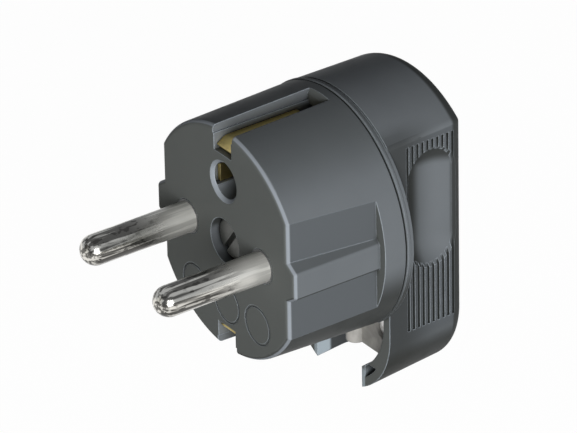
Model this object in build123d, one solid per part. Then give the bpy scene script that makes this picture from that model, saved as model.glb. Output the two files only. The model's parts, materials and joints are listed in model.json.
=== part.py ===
"""Angled, side-earthed two-pin mains plug, rewirable, with its cable outlet at the bottom.

The origin is the point between the line pins on the engaging face. The pins point along -Y, depth
runs along +Y into the plug, +Z is up and the cable leaves downwards.
"""

from build123d import *
import math
import os

# Line pins
PIN_DIA = 4.8
PIN_ROOT_DIA = 5.4
PIN_ROOT_LEAD = 0.05
PIN_SPACING = 19.0
PIN_LENGTH = 19.0
PIN_COLLAR_DIA = 7.2
PIN_COLLAR_THICKNESS = 1.4
PIN_COLLAR_FLATS = 6.0
PIN_HEAD_DIA = 6.2
PIN_HEAD_SETBACK = 2.75
WIRE_HOLE_DIA = 3.2
WIRE_HOLE_SETBACK = 5.0
BORE_CLEARANCE = 0.05
POCKET_CLEARANCE = 0.1

# Contact carrier, the round front moulding
FACE_WALL = 7.0
BODY_RADIUS = 19.15
BODY_DRAFT = 0.55
COLLAR_STEP = 0.15
PARTING = 19.35
CARRIER_BEVEL = 0.3
PARTING_BEVEL = 0.15
FACE_ROUNDING = 0.8
FLAT_WALL = 2.7
FLAT_DRAFT = 1.0
FLAT_SETBACK = 3.9
RIB_HEIGHT = 1.9
RIB_HALF_HEIGHT = 2.1
RIB_FOOT_HALF_HEIGHT = 3.9
RIB_ROUNDING = 0.55
RIB_NOSE_ROUNDING = 0.75
CHAMBER_WALL = 2.85
CHAMBER_ROOM = 0.8
LUG_ROOM = 0.15

# Earth grooves at the top and bottom, and the tunnel behind each of them
GROOVE_HALF_WIDTH = 2.2
GROOVE_DEPTH = 4.65
GROOVE_MOUTH_HALF_WIDTH = 2.45
GROOVE_MOUTH_DEPTH = 1.95
GROOVE_SETBACK = 2.2
GROOVE_RAMP = 0.5
GROOVE_RAMP_DEPTH = 1.0
DUCT_HALF_WIDTH = 4.0
DUCT_WALL = 1.4
TUNNEL_LEAD = 0.5
TUNNEL_COVER = 2.55

# Earth bow, one folded brass strip
BOW_THICKNESS = 0.8
BOW_ARM_WIDTH = 4.2
BOW_WEB_SETBACK = 4.45
BOW_WEB_HALF_WIDTH = 5.2
BOW_CLEARANCE = 0.2
BOW_TIP_DEPTH = 0.7
BOW_TIP_BEND_DEPTH = 2.0
BOW_TIP_DROP = 0.9
BOW_ARM_RISE = 0.1
BOW_BEND_RADIUS = 0.9

# Earth hole in the face, and the sprung contact behind it
EARTH_HOLE_HEIGHT = 10.0
EARTH_HOLE_RADIUS = 2.9
EARTH_FUNNEL_RADIUS = 3.4
EARTH_FUNNEL_DEPTH = 0.5
EARTH_CONTACT_FRONT = 1.5
EARTH_CONTACT_SHORT_FRONT = 0.7
EARTH_CONTACT_THICKNESS = 0.6
EARTH_CONTACT_WIDTH = 3.2
EARTH_CONTACT_BEND = 0.8
RIVET_DIA = 1.9
RIVET_HEAD_DIA = 3.4
RIVET_HEAD_HEIGHT = 0.6

# Earth terminal on the bow
EARTH_CLAMP_SIZE = 6.4
EARTH_CLAMP_MARGIN = 0.1
EARTH_CLAMP_THICKNESS = 1.2
EARTH_CLAMP_NOTCH = 0.4
EARTH_SCREW_DIA = 3.9
EARTH_SCREW_HEAD_DIA = 5.8
EARTH_SCREW_HEAD_HEIGHT = 2.2
EARTH_SCREW_LENGTH = 5.2

# Screws of the line terminals
TERMINAL_SCREW_DIA = 3.4
TERMINAL_SCREW_HEAD_DIA = 5.4
TERMINAL_SCREW_HEAD_HEIGHT = 1.7
TERMINAL_SCREW_STANDOFF = 0.8
TERMINAL_CLAMP_THICKNESS = 0.9
TERMINAL_CLAMP_REACH = 0.9

# Plate that holds both pins in the carrier
RETAINER_THICKNESS = 1.5
RETAINER_END_GAP = 0.5
RETAINER_HALF_HEIGHT = 6.9
RETAINER_CORNER = 4.0
RETAINER_SCREW_X = 5.0
RETAINER_SCREW_Z = 4.6
RETAINER_SCREW_DIA = 2.4
RETAINER_SCREW_HEAD_DIA = 4.2
RETAINER_SCREW_HEAD_HEIGHT = 1.3
RETAINER_SCREW_LENGTH = 5.1

# Screw that joins the two housing halves, with its captive nut
SCREW_RECESS_DIA = 7.3
SCREW_RECESS_DEPTH = 1.3
HOUSING_SCREW_DIA = 3.9
HOUSING_SCREW_HEAD_DIA = 6.8
HOUSING_SCREW_HEAD_HEIGHT = 2.6
HOUSING_SCREW_REACH = 4.5
HOUSING_SCREW_HOLE_DIA = 4.3
HOUSING_SCREW_SLOT_TURN = 37.0
CARRIER_BOSS_DIA = 8.4
SHELL_BOSS_DIA = 10.4
NUT_WIDTH = 7.0
NUT_THICKNESS = 3.2
NUT_SETBACK = 4.65
SCREW_SLOT_WIDTH = 0.9
SCREW_SLOT_DEPTH = 0.9

# Rear shell
SHELL_STEP = 0.1
SHELL_BEAD = 0.7
SHELL_NECK_DEPTH = 0.2
SHELL_SETBACK = 1.1
SHELL_LENGTH = 15.45
SHELL_SIDE_FRONT = 13.0
SHELL_SIDE_BACK = 12.45
SHELL_BOTTOM_CENTRE_FRONT = -18.0
SHELL_BOTTOM_CENTRE_BACK = -17.3
SHELL_WALL_SIDE = 1.5
SHELL_WALL_TOP = 2.3
SHELL_WALL_BACK = 2.2
SHELL_WALL_BOTTOM = 3.3
SHELL_BACK_ROUNDING = 2.1
SHELL_SHOULDER_ROUNDING = 1.2
BRIDGE_THICKNESS = 2.55
REBATE_DEPTH = 2.4
REBATE_WALL = 1.4
LIP_THICKNESS = 0.8
LUG_THICKNESS = 1.2
LUG_LENGTH = 1.4
LUG_CLEARANCE = 0.1

# Grip panels on the shell's sides
GRIP_SETBACK = 3.7
GRIP_TOP = 13.2
GRIP_BOTTOM = -18.0
GRIP_RIB_PITCH = 0.94
GRIP_GROOVE_WIDTH = 0.45
GRIP_GROOVE_DEPTH = 0.55
GRIP_GROOVE_COUNT = 10
SCOOP_SETBACK = 8.4
SCOOP_HALF_WIDTH = 4.6
SCOOP_DEPTH = 2.2
SCOOP_TOP = 11.6
SCOOP_BOTTOM = -8.4
SCOOP_WALL = 1.8

# Cable outlet and its clamp
OUTLET_HALF_WIDTH = 5.75
OUTLET_SETBACK = 4.85
CLAMP_SETBACK = 3.1
CLAMP_THICKNESS = 2.75
CLAMP_HALF_WIDTH = 9.8
CLAMP_TOP = -15.2
CLAMP_BOTTOM = -24.9
CLAMP_SIDE_GAP = 0.4
CLAMP_RIB_RADIUS = 1.55
CLAMP_SADDLE_RADIUS = 8.0
CLAMP_SADDLE_DEPTH = 0.9
CLAMP_SCREW_X = 7.3
CLAMP_SCREW_Z = -19.6
CLAMP_SCREW_DIA = 3.0
CLAMP_SCREW_HEAD_DIA = 4.4
CLAMP_SCREW_HEAD_HEIGHT = 1.4
CLAMP_SCREW_LENGTH = 6.0
CLAMP_RECESS_DIA = 4.8
CLAMP_RECESS_DEPTH = 1.9
PILLAR_DIA = 5.2
RIDGE_HEIGHT = 1.1
RIDGE_WIDTH = 1.4
RIDGE_HALF_LENGTH = 4.4
RIDGE_HEIGHTS = (-18.0, -21.0, -24.0)

# Round marks of the moulding tool on the face
MARK_RADIUS = 3.2
MARK_WIDTH = 0.3
MARK_DEPTH = 0.15
MARK_PLACES = ((8.0, -10.7), (0.2, -10.6), (-8.0, -10.7))

PIN_X = PIN_SPACING / 2
FLAT_HALF_WIDTH = PIN_X + PIN_COLLAR_DIA / 2 + FLAT_WALL
FLAT_END = PARTING - FLAT_SETBACK
RIB_REACH = FLAT_HALF_WIDTH + RIB_HEIGHT
CHAMBER_HALF_WIDTH = PIN_X + PIN_HEAD_DIA / 2 + CHAMBER_ROOM
CHAMBER_RADIUS = BODY_RADIUS - CHAMBER_WALL
CHAMBER_STEP = PARTING - LUG_LENGTH - LUG_ROOM
COLLAR_RADIUS = BODY_RADIUS + COLLAR_STEP
SHELL_RADIUS = COLLAR_RADIUS - SHELL_STEP
GROOVE_FLOOR = BODY_RADIUS - GROOVE_DEPTH
GROOVE_END = PARTING - GROOVE_SETBACK
DUCT_INNER = GROOVE_FLOOR - DUCT_WALL
TUNNEL_ROOF = BODY_RADIUS - TUNNEL_COVER
BOW_ARM_HEIGHT_BACK = TUNNEL_ROOF - BOW_THICKNESS / 2 - BOW_CLEARANCE
BOW_ARM_HEIGHT_FRONT = BOW_ARM_HEIGHT_BACK - BOW_ARM_RISE
BOW_TIP_HEIGHT = BOW_ARM_HEIGHT_FRONT - BOW_TIP_DROP
BOW_WEB_HALF_HEIGHT = DUCT_INNER - BOW_CLEARANCE
BOW_WEB_FRONT = PARTING - BOW_WEB_SETBACK
EARTH_TERMINAL_HEIGHT = EARTH_CLAMP_SIZE / 2 + EARTH_CLAMP_MARGIN - BOW_WEB_HALF_HEIGHT
COLLAR_SEAT = FACE_WALL - PIN_COLLAR_THICKNESS
PIN_HEAD_BACK = PARTING - PIN_HEAD_SETBACK
WIRE_HOLE_DEPTH = FACE_WALL + WIRE_HOLE_SETBACK
TERMINAL_CLAMP_FRONT = WIRE_HOLE_DEPTH + TERMINAL_CLAMP_REACH
RETAINER_BACK = FACE_WALL + RETAINER_THICKNESS
BOW_WEB_BACK = BOW_WEB_FRONT + BOW_THICKNESS
SCREW_HEAD_SEAT = SCREW_RECESS_DEPTH + HOUSING_SCREW_HEAD_HEIGHT
NUT_FRONT = PARTING + NUT_SETBACK
HOUSING_SCREW_TIP = NUT_FRONT + HOUSING_SCREW_REACH
SHELL_FRONT = PARTING + SHELL_SETBACK
SHELL_BACK = PARTING + SHELL_LENGTH
SHELL_INNER_BACK = SHELL_BACK - SHELL_WALL_BACK
GRIP_FRONT = SHELL_FRONT + GRIP_SETBACK
SCOOP_DEPTH_POSITION = SHELL_FRONT + SCOOP_SETBACK
OUTLET_CENTRE_DEPTH = SHELL_FRONT + OUTLET_SETBACK
CLAMP_FRONT = SHELL_FRONT + CLAMP_SETBACK
CLAMP_BACK = CLAMP_FRONT + CLAMP_THICKNESS
LARGE = 60.0


def section(depth):
    """Plane across the plug at a depth, seen from the engaging side."""
    return Plane(origin=(0, depth, 0), x_dir=(1, 0, 0), z_dir=(0, -1, 0))


def prism(face, front, back):
    """Solid of a face drawn in X and Z, from one depth to another."""
    return extrude(section(back) * face, amount=back - front)


def rod(diameter, front, back, x=0, z=0):
    """Round bar along the plug's depth."""
    return prism(Pos(x, z) * Circle(diameter / 2), front, back)


def block(x_range, y_range, z_range):
    """Box between two corners, given as three ranges."""
    low, high = zip(x_range, y_range, z_range)
    return Box(*(high[i] - low[i] for i in range(3)), align=(Align.MIN,) * 3).moved(Location(low))


def turned(points):
    """Solid of revolution about the Y axis, from (radius, depth) points."""
    return revolve(make_face(Polyline(*points, close=True)), Axis.Y)


def both_sides(solid):
    """A solid and its mirror image on the other side of the plug."""
    return solid + mirror(solid, Plane.YZ)


def slotted_screw(head_dia, head_height, shank_dia, length, turn=0):
    """Slotted cheese-head screw with its head's seat at depth zero, its tip towards +Y."""
    screw = rod(head_dia, -head_height, 0) + rod(shank_dia, 0, length)
    head_edge = screw.edges().filter_by_position(Axis.Y, -head_height, -head_height)
    screw = fillet(head_edge, head_height / 6)
    slot = block(
        (-SCREW_SLOT_WIDTH / 2, SCREW_SLOT_WIDTH / 2),
        (-head_height - 1, -head_height + SCREW_SLOT_DEPTH),
        (-head_dia, head_dia),
    )
    return screw - Rot(0, turn, 0) * slot


def facing_back(screw):
    """Turns a screw round, so that its head faces the plug's back."""
    return Rot(0, 0, 180) * screw


def carrier_outside():
    """Outer form of the carrier: a drafted drum with side flats and ribs."""
    body = turned([
        (0, 0),
        (BODY_RADIUS - BODY_DRAFT, 0),
        (BODY_RADIUS, PARTING - CARRIER_BEVEL),
        (BODY_RADIUS - CARRIER_BEVEL, PARTING),
        (0, PARTING),
    ])
    flat_profile = Polyline(
        (FLAT_HALF_WIDTH, -1),
        (FLAT_HALF_WIDTH + FLAT_DRAFT, FLAT_END),
        (LARGE, FLAT_END),
        (LARGE, -1),
        close=True,
    )
    flat = extrude(make_face(flat_profile), amount=LARGE, both=True)
    body -= both_sides(flat)
    body = fillet(body.edges().filter_by_position(Axis.Y, 0, 0), FACE_ROUNDING)
    return body + both_sides(side_rib())


def side_rib():
    """Guide rib on a side flat, with sloping flanks and a rounded nose."""
    root = FLAT_HALF_WIDTH - FACE_ROUNDING
    face = make_face(Polyline(
        (root, -RIB_FOOT_HALF_HEIGHT),
        (RIB_REACH, -RIB_HALF_HEIGHT),
        (RIB_REACH, RIB_HALF_HEIGHT),
        (root, RIB_FOOT_HALF_HEIGHT),
        close=True,
    ))
    rib = prism(face, 0, FLAT_END)
    crests = rib.edges().filter_by(Axis.Y).filter_by_position(Axis.X, RIB_REACH, RIB_REACH)
    rib = fillet(crests, RIB_ROUNDING)
    nose = rib.edges().filter_by_position(Axis.Y, 0, 0)
    nose = nose.filter_by_position(Axis.X, root + FACE_ROUNDING, RIB_REACH)
    return fillet(nose, RIB_NOSE_ROUNDING)


def carrier_chamber():
    """Hollow behind the face wall, clear of the grooves' ducts and round the screw's boss."""
    circle = Circle(CHAMBER_RADIUS)
    narrow = circle & Rectangle(2 * CHAMBER_HALF_WIDTH, LARGE)
    hollow = prism(narrow, FACE_WALL, CHAMBER_STEP) + prism(circle, CHAMBER_STEP, PARTING)
    for side in (1, -1):
        hollow -= block(
            (-DUCT_HALF_WIDTH, DUCT_HALF_WIDTH),
            (FACE_WALL, PARTING),
            sorted((side * DUCT_INNER, side * LARGE)),
        )
    return hollow - rod(CARRIER_BOSS_DIA, FACE_WALL, BOW_WEB_FRONT)


def earth_groove():
    """Top earth groove with its wider mouth, and the tunnel that the bow's arm passes through."""
    mouth_floor = BODY_RADIUS - GROOVE_MOUTH_DEPTH
    profile = Plane.YZ * Polyline(
        (-1, mouth_floor),
        (GROOVE_END, mouth_floor),
        (GROOVE_END, BODY_RADIUS - GROOVE_RAMP_DEPTH),
        (GROOVE_END + GROOVE_RAMP, BODY_RADIUS),
        (GROOVE_END + GROOVE_RAMP, LARGE),
        (-1, LARGE),
        close=True,
    )
    mouth = extrude(make_face(profile), amount=GROOVE_MOUTH_HALF_WIDTH, both=True)
    width = (-GROOVE_HALF_WIDTH, GROOVE_HALF_WIDTH)
    channel = block(width, (-1, GROOVE_END), (GROOVE_FLOOR, LARGE))
    tunnel = block(width, (BOW_WEB_FRONT - TUNNEL_LEAD, PARTING), (DUCT_INNER, TUNNEL_ROOF))
    return mouth + channel + tunnel


def pin_seat(x):
    """Bore of one line pin, with the flatted pocket of its collar."""
    pocket = Circle(PIN_COLLAR_DIA / 2 + POCKET_CLEARANCE)
    pocket &= Rectangle(LARGE, PIN_COLLAR_FLATS + 2 * POCKET_CLEARANCE)
    bore = rod(PIN_ROOT_DIA + 2 * BORE_CLEARANCE, 0, FACE_WALL)
    return Pos(x, 0, 0) * (bore + prism(pocket, COLLAR_SEAT, FACE_WALL))


def earth_hole():
    """Funnelled hole for the socket's earth pin, with a slot for the contact's long leaf."""
    hole = turned([
        (0, 0),
        (EARTH_FUNNEL_RADIUS, 0),
        (EARTH_HOLE_RADIUS, EARTH_FUNNEL_DEPTH),
        (EARTH_HOLE_RADIUS, FACE_WALL),
        (0, FACE_WALL),
    ])
    leaf_reach = EARTH_HOLE_RADIUS + EARTH_CONTACT_THICKNESS + POCKET_CLEARANCE
    leaf_height = EARTH_CONTACT_WIDTH / 2 + POCKET_CLEARANCE
    slot = block((-leaf_reach, 0), (EARTH_FUNNEL_DEPTH, FACE_WALL), (-leaf_height, leaf_height))
    room_height = RIVET_HEAD_DIA / 2 + POCKET_CLEARANCE
    room = block((-leaf_reach, leaf_reach), (FACE_WALL, PARTING), (-room_height, room_height))
    return Pos(0, 0, EARTH_HOLE_HEIGHT) * (hole + slot + room)


def contact_carrier():
    carrier = carrier_outside() - carrier_chamber()
    groove = earth_groove()
    carrier -= groove
    carrier -= mirror(groove, Plane.XY)
    carrier -= pin_seat(PIN_X)
    carrier -= pin_seat(-PIN_X)
    carrier -= earth_hole()
    carrier -= rod(SCREW_RECESS_DIA, 0, SCREW_HEAD_SEAT)
    carrier -= rod(HOUSING_SCREW_HOLE_DIA, 0, BOW_WEB_FRONT)
    for side in (1, -1):
        core = RETAINER_SCREW_DIA + 2 * BORE_CLEARANCE
        front = RETAINER_BACK - RETAINER_SCREW_LENGTH
        carrier -= rod(core, front, FACE_WALL, side * RETAINER_SCREW_X, side * RETAINER_SCREW_Z)
    for x, z in MARK_PLACES:
        ring = Circle(MARK_RADIUS) - Circle(MARK_RADIUS - MARK_WIDTH)
        carrier -= prism(Pos(x, z) * ring, 0, MARK_DEPTH)
    return carrier


def line_pin(x):
    """Turned pin: round tip, collar with two flats, and a terminal head with its wire hole."""
    radius = PIN_DIA / 2
    tip = ThreePointArc(
        (0, -PIN_LENGTH),
        (radius * math.sin(math.pi / 4), radius - PIN_LENGTH - radius * math.cos(math.pi / 4)),
        (radius, radius - PIN_LENGTH),
    )
    outline = Polyline(
        (radius, radius - PIN_LENGTH),
        (radius, COLLAR_SEAT),
        (0, COLLAR_SEAT),
        (0, -PIN_LENGTH),
    )
    pin = revolve(make_face(tip + outline), Axis.Y)
    pin += rod(PIN_ROOT_DIA, -PIN_ROOT_LEAD, COLLAR_SEAT)
    collar = Circle(PIN_COLLAR_DIA / 2) & Rectangle(LARGE, PIN_COLLAR_FLATS)
    pin += prism(collar, COLLAR_SEAT, FACE_WALL)
    pin += rod(PIN_HEAD_DIA, FACE_WALL, PIN_HEAD_BACK)
    pin -= Pos(0, WIRE_HOLE_DEPTH, 0) * Cylinder(WIRE_HOLE_DIA / 2, LARGE)
    pin -= rod(TERMINAL_SCREW_DIA + 2 * BORE_CLEARANCE, WIRE_HOLE_DEPTH, PIN_HEAD_BACK)
    return Pos(x, 0, 0) * pin


def terminal_clamp(x):
    """Pressure disc between the terminal screw's tip and the wire."""
    back = TERMINAL_CLAMP_FRONT + TERMINAL_CLAMP_THICKNESS
    return rod(TERMINAL_SCREW_DIA, TERMINAL_CLAMP_FRONT, back, x)


def terminal_screw(x):
    seat = PIN_HEAD_BACK + TERMINAL_SCREW_STANDOFF
    length = seat - TERMINAL_CLAMP_FRONT - TERMINAL_CLAMP_THICKNESS
    screw = slotted_screw(
        TERMINAL_SCREW_HEAD_DIA, TERMINAL_SCREW_HEAD_HEIGHT, TERMINAL_SCREW_DIA, length
    )
    return Pos(x, seat, 0) * facing_back(screw)


def pin_retainer():
    """Insulating plate that presses both pin collars into the carrier."""
    length = 2 * (CHAMBER_HALF_WIDTH - RETAINER_END_GAP)
    outline = RectangleRounded(length, 2 * RETAINER_HALF_HEIGHT, RETAINER_CORNER)
    plate = prism(outline, FACE_WALL, RETAINER_BACK)
    plate -= rod(CARRIER_BOSS_DIA + 2 * POCKET_CLEARANCE, FACE_WALL, RETAINER_BACK)
    for side in (1, -1):
        plate -= rod(PIN_HEAD_DIA + 2 * POCKET_CLEARANCE, FACE_WALL, RETAINER_BACK, side * PIN_X)
        hole = RETAINER_SCREW_DIA + 2 * POCKET_CLEARANCE
        plate -= rod(hole, FACE_WALL, RETAINER_BACK, side * RETAINER_SCREW_X, side * RETAINER_SCREW_Z)
    return plate


def retainer_screw(side):
    screw = slotted_screw(
        RETAINER_SCREW_HEAD_DIA, RETAINER_SCREW_HEAD_HEIGHT, RETAINER_SCREW_DIA, RETAINER_SCREW_LENGTH
    )
    return Pos(side * RETAINER_SCREW_X, RETAINER_BACK, side * RETAINER_SCREW_Z) * facing_back(screw)


def earth_bow():
    """Folded strip: two spring arms in the grooves, joined by a wide web across the chamber."""
    web_middle = BOW_WEB_FRONT + BOW_THICKNESS / 2
    upper = [
        (0, BOW_TIP_DEPTH, BOW_TIP_HEIGHT),
        (0, BOW_TIP_BEND_DEPTH, BOW_ARM_HEIGHT_FRONT),
        (0, web_middle, BOW_ARM_HEIGHT_BACK),
    ]
    lower = [(x, y, -z) for x, y, z in reversed(upper)]
    path = FilletPolyline(*upper, *lower, radius=BOW_BEND_RADIUS)
    start = Plane(origin=path @ 0, x_dir=(1, 0, 0), z_dir=path % 0)
    bow = sweep(start * Rectangle(BOW_ARM_WIDTH, BOW_THICKNESS), path=path)
    web = Rectangle(2 * BOW_WEB_HALF_WIDTH, 2 * BOW_WEB_HALF_HEIGHT)
    bow += prism(web, BOW_WEB_FRONT, BOW_WEB_BACK)
    bow -= rod(HOUSING_SCREW_HOLE_DIA, BOW_WEB_FRONT, BOW_WEB_BACK)
    bow -= rod(EARTH_SCREW_DIA + 2 * BORE_CLEARANCE, BOW_WEB_FRONT, BOW_WEB_BACK, z=EARTH_TERMINAL_HEIGHT)
    bow -= rod(RIVET_DIA + 2 * BORE_CLEARANCE, BOW_WEB_FRONT, BOW_WEB_BACK, z=EARTH_HOLE_HEIGHT)
    return bow


def earth_socket_contact():
    """One strip with a long and a short spring leaf, which grip the socket's earth pin."""
    reach = EARTH_HOLE_RADIUS + EARTH_CONTACT_THICKNESS / 2
    base = BOW_WEB_FRONT - EARTH_CONTACT_THICKNESS / 2
    path = FilletPolyline(
        (-reach, EARTH_CONTACT_FRONT, EARTH_HOLE_HEIGHT),
        (-reach, base, EARTH_HOLE_HEIGHT),
        (reach, base, EARTH_HOLE_HEIGHT),
        (reach, FACE_WALL + EARTH_CONTACT_SHORT_FRONT, EARTH_HOLE_HEIGHT),
        radius=EARTH_CONTACT_BEND,
    )
    start = Plane(origin=path @ 0, x_dir=(1, 0, 0), z_dir=path % 0)
    contact = sweep(start * Rectangle(EARTH_CONTACT_THICKNESS, EARTH_CONTACT_WIDTH), path=path)
    hole = RIVET_DIA + 2 * BORE_CLEARANCE
    return contact - rod(hole, BOW_WEB_FRONT - EARTH_CONTACT_THICKNESS, BOW_WEB_FRONT, z=EARTH_HOLE_HEIGHT)


def contact_rivet():
    """Rivet that holds the earth socket contact on the bow."""
    front = BOW_WEB_FRONT - EARTH_CONTACT_THICKNESS
    rivet = rod(RIVET_DIA, front, BOW_WEB_BACK)
    rivet += rod(RIVET_HEAD_DIA, front - RIVET_HEAD_HEIGHT, front)
    rivet += rod(RIVET_HEAD_DIA, BOW_WEB_BACK, BOW_WEB_BACK + RIVET_HEAD_HEIGHT)
    return Pos(0, 0, EARTH_HOLE_HEIGHT) * rivet


def earth_terminal_clamp():
    """Square clamp plate with a wire notch across its front."""
    back = BOW_WEB_BACK + EARTH_CLAMP_THICKNESS
    plate = prism(Rectangle(EARTH_CLAMP_SIZE, EARTH_CLAMP_SIZE), BOW_WEB_BACK, back)
    plate -= rod(EARTH_SCREW_DIA + 2 * BORE_CLEARANCE, BOW_WEB_BACK, back)
    notch_x = (EARTH_CLAMP_SIZE + EARTH_SCREW_DIA) / 4
    notch = Pos(notch_x, BOW_WEB_BACK, 0) * Cylinder(EARTH_CLAMP_NOTCH, EARTH_CLAMP_SIZE)
    plate -= both_sides(notch)
    return Pos(0, 0, EARTH_TERMINAL_HEIGHT) * plate


def earth_terminal_screw():
    seat = BOW_WEB_BACK + EARTH_CLAMP_THICKNESS
    screw = slotted_screw(
        EARTH_SCREW_HEAD_DIA, EARTH_SCREW_HEAD_HEIGHT, EARTH_SCREW_DIA, EARTH_SCREW_LENGTH
    )
    return Pos(0, seat, EARTH_TERMINAL_HEIGHT) * facing_back(screw)


def housing_screw():
    screw = slotted_screw(
        HOUSING_SCREW_HEAD_DIA,
        HOUSING_SCREW_HEAD_HEIGHT,
        HOUSING_SCREW_DIA,
        HOUSING_SCREW_TIP - SCREW_HEAD_SEAT,
        HOUSING_SCREW_SLOT_TURN,
    )
    return Pos(0, SCREW_HEAD_SEAT, 0) * screw


def housing_nut():
    nut = prism(Rectangle(NUT_WIDTH, NUT_WIDTH), NUT_FRONT, NUT_FRONT + NUT_THICKNESS)
    return nut - rod(HOUSING_SCREW_DIA + 2 * BORE_CLEARANCE, NUT_FRONT, NUT_FRONT + NUT_THICKNESS)


def drafted(front, back, depth):
    """Value at a depth of a size that changes evenly from the shell's front to its back."""
    return front + (back - front) * (depth - SHELL_FRONT) / (SHELL_BACK - SHELL_FRONT)


def shell_face(side, top_radius, bottom_centre, bottom_radius, rounding=0):
    """Section of the shell: a round top cut by two flat sides, and a round bottom."""
    shoulder = math.sqrt(top_radius**2 - side**2)
    foot = bottom_centre - math.sqrt(bottom_radius**2 - side**2)
    outline = ThreePointArc((-side, shoulder), (0, top_radius), (side, shoulder))
    outline += Line((side, shoulder), (side, foot))
    outline += ThreePointArc((side, foot), (0, bottom_centre - bottom_radius), (-side, foot))
    outline += Line((-side, foot), (-side, shoulder))
    face = make_face(outline)
    if rounding:
        face = fillet(face.vertices().filter_by_position(Axis.Y, 0, top_radius), rounding)
    return face


def shell_outside():
    """Outer form of the shell, drafted towards its back, with the disc that closes the collar."""
    front = shell_face(
        SHELL_SIDE_FRONT,
        SHELL_RADIUS,
        SHELL_BOTTOM_CENTRE_FRONT,
        SHELL_SIDE_FRONT,
        SHELL_SHOULDER_ROUNDING,
    )
    back = shell_face(
        SHELL_SIDE_BACK,
        SHELL_RADIUS,
        SHELL_BOTTOM_CENTRE_BACK,
        SHELL_SIDE_BACK,
        SHELL_SHOULDER_ROUNDING,
    )
    body = loft([section(SHELL_FRONT) * front, section(SHELL_BACK) * back], ruled=True)
    body = fillet(body.edges().filter_by_position(Axis.Y, SHELL_BACK, SHELL_BACK), SHELL_BACK_ROUNDING)
    bead_back = PARTING + SHELL_BEAD
    neck_radius = SHELL_RADIUS - SHELL_NECK_DEPTH
    neck_back = SHELL_FRONT + SHELL_NECK_DEPTH
    disc = turned([
        (0, PARTING),
        (COLLAR_RADIUS - PARTING_BEVEL, PARTING),
        (COLLAR_RADIUS, PARTING + PARTING_BEVEL),
        (COLLAR_RADIUS, bead_back - PARTING_BEVEL),
        (COLLAR_RADIUS - PARTING_BEVEL, bead_back),
        (neck_radius, bead_back),
        (neck_radius, neck_back),
        (0, neck_back),
    ])
    return body + disc


def shell_hollow():
    """Wiring space inside the shell, open to the front."""
    side_front = SHELL_SIDE_FRONT - SHELL_WALL_SIDE
    side_back = SHELL_SIDE_BACK - SHELL_WALL_SIDE
    radius = SHELL_RADIUS - SHELL_WALL_TOP
    rise = SHELL_WALL_BOTTOM - SHELL_WALL_SIDE
    front = shell_face(side_front, radius, SHELL_BOTTOM_CENTRE_FRONT + rise, side_front)
    back = shell_face(side_back, radius, SHELL_BOTTOM_CENTRE_BACK + rise, side_back)
    return loft([section(PARTING) * front, section(SHELL_INNER_BACK) * back], ruled=True)


def scoop(extra):
    """Concave thumb hollow with round ends, or its backing when extra is added to its radius."""
    radius = (SCOOP_HALF_WIDTH**2 + SCOOP_DEPTH**2) / (2 * SCOOP_DEPTH)
    side = drafted(SHELL_SIDE_FRONT, SHELL_SIDE_BACK, SCOOP_DEPTH_POSITION)
    x = side + radius - SCOOP_DEPTH
    top = SCOOP_TOP - SCOOP_HALF_WIDTH
    bottom = SCOOP_BOTTOM + SCOOP_HALF_WIDTH
    middle = Pos(x, SCOOP_DEPTH_POSITION, (top + bottom) / 2) * Cylinder(radius + extra, top - bottom)
    upper = Pos(x, SCOOP_DEPTH_POSITION, top) * Sphere(radius + extra)
    lower = Pos(x, SCOOP_DEPTH_POSITION, bottom) * Sphere(radius + extra)
    return middle + upper + lower


def grip_grooves():
    """Vertical grooves of one grip panel, each as deep as the drafted side asks."""
    grooves = []
    for index in range(GRIP_GROOVE_COUNT):
        depth = GRIP_FRONT + index * GRIP_RIB_PITCH
        floor = drafted(SHELL_SIDE_FRONT, SHELL_SIDE_BACK, depth) - GRIP_GROOVE_DEPTH
        grooves.append(block(
            (floor, LARGE),
            (depth - GRIP_GROOVE_WIDTH / 2, depth + GRIP_GROOVE_WIDTH / 2),
            (GRIP_BOTTOM, GRIP_TOP),
        ))
    return grooves


def shell_inside():
    """What stands inside the shell: screw boss, clamp pillars, cable ridges and front bridge."""
    boss = rod(SHELL_BOSS_DIA, BOW_WEB_BACK, SHELL_INNER_BACK)
    pillar = rod(PILLAR_DIA, CLAMP_BACK, SHELL_INNER_BACK, CLAMP_SCREW_X, CLAMP_SCREW_Z)
    inside = boss + both_sides(pillar)
    for height in RIDGE_HEIGHTS:
        ridge = Plane.YZ * Polyline(
            (SHELL_INNER_BACK, height - RIDGE_WIDTH / 2),
            (SHELL_INNER_BACK - RIDGE_HEIGHT, height),
            (SHELL_INNER_BACK, height + RIDGE_WIDTH / 2),
            close=True,
        )
        inside += extrude(make_face(ridge), amount=RIDGE_HALF_LENGTH, both=True)
    return inside


def shell_bridge():
    """Strip behind the carrier's lower rim that ties the shell's two sides together."""
    ring = Circle(COLLAR_RADIUS - PARTING_BEVEL) - Circle(SHELL_RADIUS - SHELL_WALL_TOP)
    half = Pos(0, -LARGE / 2) * Rectangle(2 * (SHELL_SIDE_BACK - SHELL_WALL_SIDE / 2), LARGE)
    return prism(ring & half, PARTING, PARTING + BRIDGE_THICKNESS)


def locating_lugs():
    """Two curved lugs that centre the shell in the carrier."""
    outer = CHAMBER_RADIUS - LUG_CLEARANCE
    ring = Circle(outer) - Circle(outer - LUG_THICKNESS)
    inner_side = SHELL_SIDE_FRONT - SHELL_WALL_SIDE
    strip = Pos(inner_side + LARGE / 2, 0) * Rectangle(LARGE, LARGE)
    return both_sides(prism(ring & strip, PARTING - LUG_LENGTH, PARTING))


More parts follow.
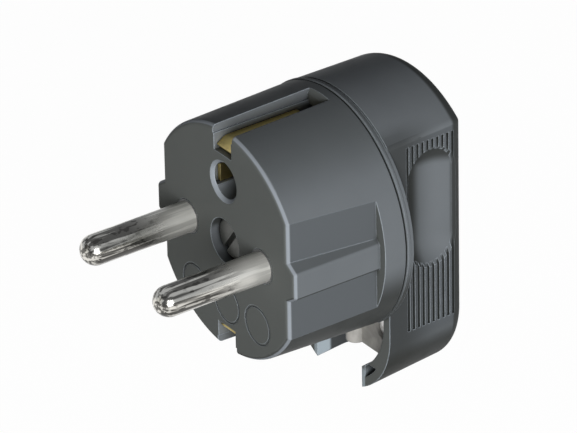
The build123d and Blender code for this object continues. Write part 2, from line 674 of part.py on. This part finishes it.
def rim_rebate():
    """Step in the shell's lower front rim that leaves a thin wall and the outlet's two lips."""
    side = SHELL_SIDE_FRONT - REBATE_WALL
    face = shell_face(side, SHELL_RADIUS - REBATE_WALL, SHELL_BOTTOM_CENTRE_FRONT, side)
    lip_side = OUTLET_HALF_WIDTH + LIP_THICKNESS
    low = CLAMP_BOTTOM - LARGE / 2
    face &= Pos(lip_side + LARGE / 2, low) * Rectangle(LARGE, LARGE)
    return prism(face, SHELL_FRONT, SHELL_FRONT + REBATE_DEPTH)


def outlet_slot():
    """Cable outlet through the bottom wall: a slot from the front rim with a round end."""
    outlet = Pos(0, OUTLET_CENTRE_DEPTH) * Circle(OUTLET_HALF_WIDTH)
    outlet += Pos(0, OUTLET_CENTRE_DEPTH / 2) * Rectangle(2 * OUTLET_HALF_WIDTH, OUTLET_CENTRE_DEPTH)
    return Pos(0, 0, CLAMP_BOTTOM) * extrude(outlet, amount=-LARGE)


def rear_shell():
    hollow = shell_hollow()
    scoop_backing = both_sides(scoop(SCOOP_WALL))
    shell = shell_outside() - (hollow - scoop_backing)
    shell += shell_inside()
    shell += shell_bridge()
    shell += locating_lugs()
    shell -= both_sides(scoop(0))
    for groove in grip_grooves():
        shell -= both_sides(groove)
    shell -= outlet_slot()
    shell -= both_sides(rim_rebate())
    shell -= rod(HOUSING_SCREW_HOLE_DIA, BOW_WEB_BACK, HOUSING_SCREW_TIP + 1)
    shell -= block(
        (-NUT_WIDTH / 2 - POCKET_CLEARANCE, NUT_WIDTH / 2 + POCKET_CLEARANCE),
        (NUT_FRONT, NUT_FRONT + NUT_THICKNESS + POCKET_CLEARANCE),
        (-NUT_WIDTH / 2 - POCKET_CLEARANCE, SHELL_BOSS_DIA),
    )
    core = CLAMP_SCREW_DIA + 2 * BORE_CLEARANCE
    tip = CLAMP_FRONT + CLAMP_RECESS_DEPTH + CLAMP_SCREW_LENGTH
    shell -= both_sides(rod(core, CLAMP_BACK, tip, CLAMP_SCREW_X, CLAMP_SCREW_Z))
    return shell


def cable_clamp_bar():
    """Clamp bar with a stiffening rib in front and a cable saddle at its back."""
    side = drafted(SHELL_SIDE_FRONT, SHELL_SIDE_BACK, CLAMP_BACK)
    inner_radius = side - SHELL_WALL_SIDE - CLAMP_SIDE_GAP
    rise = SHELL_WALL_BOTTOM - SHELL_WALL_SIDE
    centre = drafted(SHELL_BOTTOM_CENTRE_FRONT, SHELL_BOTTOM_CENTRE_BACK, CLAMP_BACK) + rise
    height = CLAMP_TOP - CLAMP_BOTTOM
    middle = (CLAMP_TOP + CLAMP_BOTTOM) / 2
    outline = Pos(0, middle) * Rectangle(2 * CLAMP_HALF_WIDTH, height)
    outline &= Pos(0, centre) * Circle(inner_radius) + Pos(0, centre + LARGE / 2) * Rectangle(LARGE, LARGE)
    bar = prism(outline, CLAMP_FRONT, CLAMP_BACK)
    bar += Pos(0, CLAMP_FRONT, middle) * Cylinder(CLAMP_RIB_RADIUS, height)
    saddle_depth = CLAMP_BACK - CLAMP_SADDLE_DEPTH + CLAMP_SADDLE_RADIUS
    bar -= Pos(0, saddle_depth, middle) * Cylinder(CLAMP_SADDLE_RADIUS, height)
    recess_back = CLAMP_FRONT + CLAMP_RECESS_DEPTH
    bar -= both_sides(rod(CLAMP_RECESS_DIA, CLAMP_FRONT, recess_back, CLAMP_SCREW_X, CLAMP_SCREW_Z))
    hole = CLAMP_SCREW_DIA + 2 * POCKET_CLEARANCE
    return bar - both_sides(rod(hole, CLAMP_FRONT, CLAMP_BACK, CLAMP_SCREW_X, CLAMP_SCREW_Z))


def clamp_screw(side):
    screw = slotted_screw(
        CLAMP_SCREW_HEAD_DIA, CLAMP_SCREW_HEAD_HEIGHT, CLAMP_SCREW_DIA, CLAMP_SCREW_LENGTH
    )
    return Pos(side * CLAMP_SCREW_X, CLAMP_FRONT + CLAMP_RECESS_DEPTH, CLAMP_SCREW_Z) * screw


def build():
    """Every piece of the plug, by its name."""
    nodes = {
        "contact_carrier": contact_carrier(),
        "rear_shell": rear_shell(),
        "pin_retainer": pin_retainer(),
        "earth_bow": earth_bow(),
        "earth_socket_contact": earth_socket_contact(),
        "contact_rivet": contact_rivet(),
        "earth_terminal_clamp": earth_terminal_clamp(),
        "earth_terminal_screw": earth_terminal_screw(),
        "housing_screw": housing_screw(),
        "housing_nut": housing_nut(),
        "cable_clamp_bar": cable_clamp_bar(),
    }
    for name, side in (("right", 1), ("left", -1)):
        nodes[f"line_pin_{name}"] = line_pin(side * PIN_X)
        nodes[f"terminal_clamp_{name}"] = terminal_clamp(side * PIN_X)
        nodes[f"terminal_screw_{name}"] = terminal_screw(side * PIN_X)
        nodes[f"retainer_screw_{name}"] = retainer_screw(side)
        nodes[f"clamp_screw_{name}"] = clamp_screw(side)
    return nodes


os.makedirs("parts", exist_ok=True)
for node, solid in build().items():
    export_step(solid, f"parts/{node}.step")
    print(node, round(solid.volume, 1))
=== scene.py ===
"""Finishes, studio and camera for the angled earthed mains plug.

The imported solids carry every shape. Everything is in metres, in the frame of the solids: the pins
point along -Y, +Z is up and the cable leaves downwards.
"""

import json
import math

import bmesh
import bpy
from mathutils import Matrix, Vector


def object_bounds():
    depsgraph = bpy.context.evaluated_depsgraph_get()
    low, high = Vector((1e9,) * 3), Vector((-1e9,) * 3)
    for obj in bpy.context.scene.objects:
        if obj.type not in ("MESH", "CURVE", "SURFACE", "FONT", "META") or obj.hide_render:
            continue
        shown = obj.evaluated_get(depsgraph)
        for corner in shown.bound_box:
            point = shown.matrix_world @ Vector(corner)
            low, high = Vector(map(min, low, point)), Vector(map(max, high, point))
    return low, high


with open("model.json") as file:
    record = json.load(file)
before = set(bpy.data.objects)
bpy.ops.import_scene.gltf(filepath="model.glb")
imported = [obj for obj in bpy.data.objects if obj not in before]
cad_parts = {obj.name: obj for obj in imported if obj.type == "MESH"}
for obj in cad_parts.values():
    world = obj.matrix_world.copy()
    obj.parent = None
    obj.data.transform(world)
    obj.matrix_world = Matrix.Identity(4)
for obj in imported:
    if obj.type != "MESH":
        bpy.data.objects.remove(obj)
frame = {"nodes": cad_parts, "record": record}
cad_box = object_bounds()
solids = frame["nodes"]

MM = 0.001

ACROSS, DEPTH, HEIGHT = 0, 1, 2
FORWARDS = (0.0, -1.0, 0.0)
BACKWARDS = (0.0, 1.0, 0.0)
UPWARDS = (0.0, 0.0, 1.0)
DOWNWARDS = (0.0, 0.0, -1.0)

# Sockets of a Mix node for colours, whose names repeat.
MIX_SHARE, MIX_FIRST, MIX_SECOND, MIX_RESULT = 0, 6, 7, 2

# Where the housing's painted shade and highlights turn, as start and end. Behind the face:
FACE_RIM_END = (1.2 * MM, 2.0 * MM)
CARRIER_END = (19.6 * MM, 20.6 * MM)
SHELL_START = (20.4 * MM, 20.6 * MM)
LIPS_END = (22.6 * MM, 23.2 * MM)
COLLAR_SHADE = (22.5 * MM, 31.0 * MM)
BACK_SHADE_BAND_START = (32.4 * MM, 33.0 * MM)
# To either side of the plane between the pins:
LIPS_REACH = (6.3 * MM, 6.7 * MM)
FLATS_INNER = (12.1 * MM, 12.3 * MM)
FLATS_OUTER = (17.0 * MM, 17.8 * MM)
SHELL_REACH = (13.1 * MM, 13.3 * MM)
# Above the pins' middle:
LIPS_TOP = (-26.8 * MM, -25.8 * MM)

# Where the pins' plating turns, behind the face.
PIN_ROOT = (-0.12 * MM, -0.06 * MM)
PIN_USED_END = (-12.0 * MM, -3.0 * MM)
PIN_TIP_END = (-17.6 * MM, -15.8 * MM)
# Direction of the pin's side that takes a painted dark reflection.
PIN_LOWER_SIDE = (0.6, 0.0, -0.8)

# The screw head in the face lies in front of this depth, and all other steel behind it.
FACE_SCREW_END = (4.0 * MM, 5.0 * MM)

# Paler edge tone: painted edge highlight and rubbing wear.
EDGE_HIGHLIGHT_AND_WEAR = (0.42, 0.46, 0.50)

FLOOR_RADIUS = 6.0
FLOOR_GAP = 0.2 * MM
FLOOR_GLOW = 1.02
FLOOR_GLOW_SHARE = 0.96

AIM = Vector((0.0, 12.32, 0.11)) * MM
VIEW_SIDE = math.radians(55.05)
VIEW_RISE = math.radians(29.31)
VIEW_ROLL = math.radians(-1.15)
VIEW_DISTANCE = 964.0 * MM
VIEW_RIGHT = 9.405 * MM
VIEW_UP = 3.626 * MM
PHOTO_WIDTH = 85.13 * MM
SENSOR = 36.0
SOFT_LIGHT = 0.09
MIRRORED_LIGHT = 0.5
SURROUND_TINT = (0.93, 0.96, 1.0, 1.0)


class Value:
    """A shader socket that takes part in Python expressions."""

    def __init__(self, finish, socket):
        self.finish = finish
        self.socket = socket

    def __add__(self, other):
        return self.finish.maths("ADD", self, other)

    def __sub__(self, other):
        return self.finish.maths("SUBTRACT", self, other)

    def __mul__(self, other):
        return self.finish.maths("MULTIPLY", self, other)

    def __rsub__(self, other):
        return self.finish.maths("SUBTRACT", other, self)

    __radd__ = __add__
    __rmul__ = __mul__


class Finish:
    """One material: its nodes, and the values that its shader takes."""

    def __init__(self, name):
        self.material = bpy.data.materials.new(name)
        self.material.use_nodes = True
        self.tree = self.material.node_tree
        self.tree.nodes.clear()
        self.place = self.node("ShaderNodeTexCoord", out="Object")

    def feed(self, socket, value):
        """Links a value to a socket, or sets the socket to a number, a vector or a colour."""
        if isinstance(value, Value):
            self.tree.links.new(value.socket, socket)
        elif isinstance(value, tuple) and len(value) == 3 and len(socket.default_value) == 4:
            socket.default_value = (*value, 1.0)
        else:
            socket.default_value = value

    def node(self, kind, settings=None, sockets=None, out=0):
        """Adds a node. Its settings come first, and sockets go by name or by number."""
        made = self.tree.nodes.new(kind)
        for name, value in (settings or {}).items():
            setattr(made, name, value)
        for name, value in (sockets or {}).items():
            self.feed(made.inputs[name], value)
        return Value(self, made.outputs[out])

    def maths(self, operation, *values, clamp=False):
        """One Math node."""
        settings = {"operation": operation, "use_clamp": clamp}
        return self.node("ShaderNodeMath", settings, dict(enumerate(values)))

    def rising(self, value, low, high):
        """Zero below low, one above high and an even turn between them."""
        settings = {"interpolation_type": "SMOOTHSTEP"}
        sockets = {"Value": value, "From Min": low, "From Max": high}
        return self.node("ShaderNodeMapRange", settings, sockets)

    def falling(self, value, low, high):
        """One below low, zero above high and an even turn between them."""
        return 1.0 - self.rising(value, low, high)

    def blend(self, share, first, second):
        """Colour between two colours."""
        sockets = {MIX_SHARE: share, MIX_FIRST: first, MIX_SECOND: second}
        return self.node("ShaderNodeMix", {"data_type": "RGBA"}, sockets, out=MIX_RESULT)

    def noise(self, size, detail=3.0, stretch=(1.0, 1.0, 1.0), roughness=0.5):
        """Noise with features about size metres wide, longer along an axis stretched over 1."""
        scale = tuple(1.0 / part for part in stretch)
        place = self.node("ShaderNodeMapping", None, {"Vector": self.place, "Scale": scale})
        sockets = {"Vector": place, "Scale": 1.0 / size, "Detail": detail, "Roughness": roughness}
        return self.node("ShaderNodeTexNoise", None, sockets)

    def along(self, axis):
        """Distance along an axis, in metres."""
        return self.node("ShaderNodeSeparateXYZ", None, {0: self.place}, out=axis)

    def from_middle(self):
        """Distance to either side of the plane between the pins, in metres."""
        return self.maths("ABSOLUTE", self.along(ACROSS))

    def facing_sideways(self, low, high):
        """One where a surface faces straight to either side, falling to zero between cosines."""
        normal = self.node("ShaderNodeTexCoord", out="Normal")
        side = self.node("ShaderNodeSeparateXYZ", None, {0: normal}, out=ACROSS)
        return self.rising(self.maths("ABSOLUTE", side), low, high)

    def facing(self, way, low, high):
        """One where a surface faces a way, falling to zero between two cosines."""
        normal = self.node("ShaderNodeTexCoord", out="Normal")
        sockets = {0: normal, 1: Vector(way).normalized()}
        return self.rising(self.dot_product(sockets), low, high)

    def dot_product(self, sockets):
        """Cosine between two directions."""
        settings = {"operation": "DOT_PRODUCT"}
        return self.node("ShaderNodeVectorMath", settings, sockets, out="Value")

    def soft_edges(self, radius):
        """Normal that rounds the edges of a moulded or stamped piece."""
        return self.node("ShaderNodeBevel", {"samples": 6}, {"Radius": radius})

    def edge_mask(self, rounded):
        """One along the edges that the rounding turns, and zero on open surfaces."""
        flat = self.node("ShaderNodeNewGeometry", out="True Normal")
        return self.rising(1.0 - self.dot_product({0: rounded, 1: flat}), 0.02, 0.25)

    def openness(self, reach, low, high):
        """Near zero in corners narrower than reach, where painted shade goes, and one in the open.
        """
        settings, sockets = {"samples": 8}, {"Distance": reach}
        share = self.node("ShaderNodeAmbientOcclusion", settings, sockets, out="AO")
        return self.rising(share, low, high)

    def raised(self, height, depth, normal=None):
        """Normal of a surface whose relief is depth metres deep."""
        sockets = {"Height": height, "Distance": depth, "Strength": 1.0}
        if normal is not None:
            sockets["Normal"] = normal
        return self.node("ShaderNodeBump", None, sockets)

    def shade(self, **inputs):
        """Closes the material with one shader, its sockets named with underscores for spaces."""
        sockets = {name.replace("_", " "): value for name, value in inputs.items()}
        return self.close(self.node("ShaderNodeBsdfPrincipled", None, sockets))

    def close(self, shader):
        """Sends a shader to the material's output."""
        output = self.tree.nodes.new("ShaderNodeOutputMaterial")
        self.feed(output.inputs["Surface"], shader)
        return self.material


def moulded_housing():
    """Dark blue-grey thermoplastic with a satin, spark-eroded skin, paler edges that are painted
    highlight and rubbing wear, and painted shade and highlights by direction and place.
    """
    finish = Finish("housing_plastic")
    depth = finish.along(DEPTH)
    reach = finish.from_middle()
    rounded = finish.soft_edges(0.28 * MM)
    open_share = finish.openness(1.2 * MM, 0.25, 0.75)
    cloud = finish.noise(9 * MM, detail=4.0)
    handling = finish.rising(finish.noise(4 * MM, detail=5.0, roughness=0.65), 0.48, 0.72)
    skin = finish.noise(0.16 * MM, detail=2.0)

    # Painted shade, darker: the flat sides beside the pins, the front face, the carrier's top, a
    # painted shadow of the collar on the shell's sides, the undersides, and round the back, where
    # the flat back itself is less so.
    flat_side_shade = finish.rising(reach, *FLATS_INNER) * finish.falling(reach, *FLATS_OUTER)
    flat_side_shade = flat_side_shade * finish.facing_sideways(0.975, 0.997)
    # Painted shade: the face towards the front is darker and olive-tinted.
    face = finish.facing(FORWARDS, 0.70, 0.95)
    shell_side = finish.rising(depth, *SHELL_START) * finish.falling(reach, *SHELL_REACH)
    shell_side = shell_side * finish.facing_sideways(0.5, 0.7)
    # Painted shadow of the collar on the shell's sides, fading towards the back.
    collar_shadow = shell_side * finish.falling(depth, *COLLAR_SHADE)
    # Painted shade on the carrier's top.
    carrier_top_shade = finish.facing(UPWARDS, 0.60, 0.92) * finish.falling(depth, *CARRIER_END)
    # Painted shade on the undersides and on the back's rounding, less on the flat back.
    underside_shade = finish.facing(DOWNWARDS, 0.06, 0.42)
    back = finish.facing(BACKWARDS, 0.12, 0.50)
    back = back * (1.0 - 0.75 * finish.facing(BACKWARDS, 0.80, 0.98))
    # Painted shade in a band along the back edge.
    back_shade_band = finish.rising(depth, *BACK_SHADE_BAND_START)
    painted_shade = finish.maths("MAXIMUM", back_shade_band, finish.maths("MAXIMUM", underside_shade, back))

    # Painted highlights, paler: the outlet's lip, the rounding at the edge of the face, and the
    # edges, where the paler tone is also rubbing wear.
    # Painted highlight on the outlet's lip.
    lip_highlight = finish.falling(reach, *LIPS_REACH) * finish.falling(depth, *LIPS_END)
    lip_highlight = lip_highlight * finish.falling(finish.along(HEIGHT), *LIPS_TOP)
    # Painted highlight along the rounding at the edge of the face.
    rim_highlight = finish.facing(FORWARDS, 0.20, 0.40) * (1.0 - finish.facing(FORWARDS, 0.75, 0.90))
    rim_highlight = rim_highlight * finish.falling(depth, *FACE_RIM_END)
    # Painted edge highlight with rubbing wear, kept out of crevices and fading along the back.
    edge_highlight_and_wear = finish.edge_mask(rounded) * open_share * (1.0 - 0.85 * back_shade_band)

    tone = finish.blend(cloud, (0.122, 0.131, 0.138), (0.148, 0.158, 0.166))
    # Blends the painted shade, shadow and highlights over the plastic's own cloudy tone.
    for place, strength, colour in (
        (flat_side_shade, 1.0, (0.094, 0.101, 0.107)),
        (face, 0.6, (0.112, 0.116, 0.100)),
        (collar_shadow, 0.8, (0.040, 0.042, 0.041)),
        (carrier_top_shade, 0.5, (0.058, 0.062, 0.060)),
        (painted_shade, 0.85, (0.028, 0.029, 0.026)),
        (lip_highlight, 0.8, (0.42, 0.48, 0.52)),
        (rim_highlight, 0.5, (0.40, 0.43, 0.47)),
        (edge_highlight_and_wear, 0.85, EDGE_HIGHLIGHT_AND_WEAR),
    ):
        tone = finish.blend(place * strength, tone, colour)
    # Painted shade in crevices and corners narrower than the reach.
    tone = finish.blend(open_share, (0.034, 0.036, 0.034), tone)
    return finish.shade(
        Base_Color=tone,
        Roughness=0.44 + 0.10 * handling + 0.05 * skin,
        Normal=finish.raised(skin, 0.004 * MM, rounded),
        Specular_IOR_Level=0.03,
    )


def insulating_plate():
    """Pale, matt pressed board that insulates and holds the pins."""
    finish = Finish("insulator_plastic")
    rounded = finish.soft_edges(0.12 * MM)
    grain = finish.noise(0.3 * MM, detail=4.0)
    return finish.shade(
        Base_Color=finish.blend(grain, (0.27, 0.25, 0.22), (0.36, 0.34, 0.30)),
        Roughness=0.62 + 0.12 * grain,
        Normal=finish.raised(grain, 0.01 * MM, rounded),
    )


def clamp_plastic():
    """Light, slightly grubby plastic of the cable clamp."""
    finish = Finish("clamp_plastic")
    rounded = finish.soft_edges(0.2 * MM)
    grime = finish.rising(finish.noise(2.5 * MM, detail=4.0), 0.40, 0.75)
    skin = finish.noise(0.2 * MM)
    return finish.shade(
        Base_Color=finish.blend(grime, (0.42, 0.40, 0.37), (0.26, 0.25, 0.23)),
        Roughness=0.42 + 0.14 * grime,
        Normal=finish.raised(skin, 0.005 * MM, rounded),
    )


def nickel_pin():
    """Polished nickel plating, with dark streaks and spots towards the tip that are partly marks of
    use and partly painted dark reflections, a painted dark reflection on the lower side, and a dull
    root.
    """
    finish = Finish("plated_pin")
    depth = finish.along(DEPTH)
    root = finish.rising(depth, *PIN_ROOT)
    used = finish.falling(depth, *PIN_USED_END)
    tip = finish.falling(depth, *PIN_TIP_END)
    lines = finish.noise(0.10 * MM, stretch=(1.0, 60.0, 1.0), roughness=0.7)
    dents = finish.noise(1.1 * MM, stretch=(1.0, 2.2, 1.0), roughness=0.6)
    streaks = finish.noise(0.8 * MM, detail=2.0, stretch=(1.0, 22.0, 1.0))
    streaks = finish.rising(streaks, 0.44, 0.54)
    spots = finish.noise(0.6 * MM, detail=2.0, stretch=(1.0, 2.5, 1.0))
    spots = finish.rising(spots, 0.55, 0.66)
    # Painted dark reflection on the pin's lower side, towards the tip.
    lower_side_reflection = finish.facing(PIN_LOWER_SIDE, 0.45, 0.80) * (0.55 + 0.45 * spots)
    # Dark streaks and spots: partly marks of use, partly painted dark reflections.
    wear_and_dark_reflection = streaks * (0.25 + 0.60 * used) + spots * (0.30 * used + 0.5 * tip)
    wear_and_dark_reflection = wear_and_dark_reflection + 0.6 * lower_side_reflection * used
    tone = finish.blend(lines, (0.66, 0.64, 0.59), (0.86, 0.84, 0.78))
    tone = finish.blend(finish.maths("MINIMUM", wear_and_dark_reflection, 0.95), tone, (0.045, 0.043, 0.040))
    tone = finish.blend(root, tone, (0.085, 0.088, 0.086))
    dented = finish.raised(dents * used, 0.05 * MM)
    return finish.shade(
        Base_Color=tone,
        Metallic=0.55 + 0.45 * used - 0.5 * root,
        Roughness=0.26 - 0.12 * used + 0.10 * lines + 0.2 * root,
        Normal=finish.raised(lines, 0.006 * MM, dented),
    )


def spring_brass():
    """Rolled brass strip with a faint grain, brighter edges and brown tarnish."""
    finish = Finish("brass_strip")
    rounded = finish.soft_edges(0.1 * MM)
    grain = finish.noise(0.12 * MM, stretch=(1.0, 40.0, 1.0))
    tarnish = finish.rising(finish.noise(2.2 * MM, detail=5.0, roughness=0.65), 0.45, 0.72)
    tone = finish.blend(tarnish * 0.6, (0.78, 0.62, 0.25), (0.40, 0.29, 0.13))
    tone = finish.blend(finish.edge_mask(rounded) * 0.6, tone, (0.88, 0.76, 0.42))
    return finish.shade(
        Base_Color=tone,
        Metallic=1.0,
        Roughness=0.26 + 0.10 * grain + 0.16 * tarnish,
        Normal=finish.raised(grain, 0.004 * MM, rounded),
    )


def zinc_steel():
    """Zinc-plated steel of the screws and the nut, with the head in the face made dark and dull as
    painted shade.
    """
    finish = Finish("zinc_steel")
    rounded = finish.soft_edges(0.1 * MM)
    dull = finish.rising(finish.noise(1.4 * MM, detail=5.0, roughness=0.6), 0.42, 0.70)
    marks = finish.noise(0.14 * MM)
    in_face = finish.falling(finish.along(DEPTH), *FACE_SCREW_END)
    tone = finish.blend(dull, (0.62, 0.62, 0.61), (0.36, 0.35, 0.33))
    # Painted shade: the head in the face turns dark and barely metallic.
    tone = finish.blend(in_face, tone, (0.085, 0.087, 0.078))
    return finish.shade(
        Base_Color=tone,
        Metallic=1.0 - in_face * 0.8,
        Roughness=0.30 + 0.18 * dull,
        Normal=finish.raised(marks, 0.006 * MM, rounded),
    )


def dress_solids():
    """Gives every solid the finish of its material slot."""
    finishes = {
        "housing_plastic": moulded_housing(),
        "insulator_plastic": insulating_plate(),
        "clamp_plastic": clamp_plastic(),
        "plated_pin": nickel_pin(),
        "brass_strip": spring_brass(),
        "zinc_steel": zinc_steel(),
    }
    for part in frame["record"]["subparts"]:
        mesh = solids[part["node"]].data
        mesh.materials.clear()
        mesh.materials.append(finishes[part["material_slot"]])


def pale_floor():
    """Wide pale floor that shows as white and keeps a soft shadow of the plug."""
    shape = bmesh.new()
    bmesh.ops.create_circle(shape, cap_ends=True, segments=96, radius=FLOOR_RADIUS)
    bmesh.ops.translate(shape, verts=shape.verts, vec=(0.0, 0.0, cad_box[0].z - FLOOR_GAP))
    mesh = bpy.data.meshes.new("floor")
    shape.to_mesh(mesh)
    shape.free()
    floor = bpy.data.objects.new("floor", mesh)
    bpy.context.scene.collection.objects.link(floor)
    finish = Finish("floor_white")
    camera, glossy, transmission = (
        finish.node("ShaderNodeLightPath", out=f"Is {ray} Ray")
        for ray in ("Camera", "Glossy", "Transmission")
    )
    seen = finish.maths("ADD", camera + glossy, transmission, clamp=True)
    matt = finish.node("ShaderNodeBsdfDiffuse", None, {"Color": (0.50, 0.50, 0.49)})
    glow = {"Color": (1.0, 1.0, 1.0), "Strength": FLOOR_GLOW}
    glow = finish.node("ShaderNodeEmission", None, glow)
    shaders = {0: seen * FLOOR_GLOW_SHARE, 1: matt, 2: glow}
    mesh.materials.append(finish.close(finish.node("ShaderNodeMixShader", None, shaders)))


def soft_lamp(name, towards, distance, size, power, tint):
    """Square soft box that faces the plug from one side."""
    lamp = bpy.data.lights.new(name, "AREA")
    lamp.shape = "SQUARE"
    lamp.size = size
    lamp.energy = power
    lamp.color = tint
    held = bpy.data.objects.new(name, lamp)
    side = Vector(towards).normalized()
    held.location = AIM + side * distance
    held.rotation_euler = side.to_track_quat("Z", "Y").to_euler()
    bpy.context.scene.collection.objects.link(held)


def photo_camera():
    """Long lens along the photograph's line of sight, turned about it as the photograph is."""
    turn = Matrix.Rotation(VIEW_SIDE, 3, "Z") @ Matrix.Rotation(math.pi / 2 - VIEW_RISE, 3, "X")
    turn = turn @ Matrix.Rotation(VIEW_ROLL, 3, "Z")
    data = bpy.data.cameras.new("camera")
    data.lens = SENSOR * VIEW_DISTANCE / PHOTO_WIDTH
    data.sensor_width = SENSOR
    camera = bpy.data.objects.new("camera", data)
    camera.location = turn @ Vector((VIEW_RIGHT, VIEW_UP, VIEW_DISTANCE))
    camera.rotation_euler = turn.to_euler()
    bpy.context.scene.collection.objects.link(camera)
    bpy.context.scene.camera = camera


def studio():
    """Dim even surroundings, brighter in mirrored rays, with a large lamp at the right."""
    world = bpy.data.worlds.new("studio")
    world.use_nodes = True
    tree = world.node_tree
    surround = tree.nodes["Background"]
    surround.inputs["Color"].default_value = SURROUND_TINT
    paths = tree.nodes.new("ShaderNodeLightPath")
    level = tree.nodes.new("ShaderNodeMapRange")
    level.inputs["To Min"].default_value = SOFT_LIGHT
    level.inputs["To Max"].default_value = MIRRORED_LIGHT
    tree.links.new(paths.outputs["Is Glossy Ray"], level.inputs["Value"])
    tree.links.new(level.outputs["Result"], surround.inputs["Strength"])
    bpy.context.scene.world = world
    soft_lamp("key", (0.88, -0.40, 0.20), 0.55, 0.30, 3.9, (0.96, 0.98, 1.0))
    soft_lamp("front", (-0.25, -0.95, 0.30), 0.60, 0.40, 0.10, (1.0, 0.94, 0.76))
    bpy.context.scene.view_settings.view_transform = "Standard"


dress_solids()
pale_floor()
photo_camera()
studio()
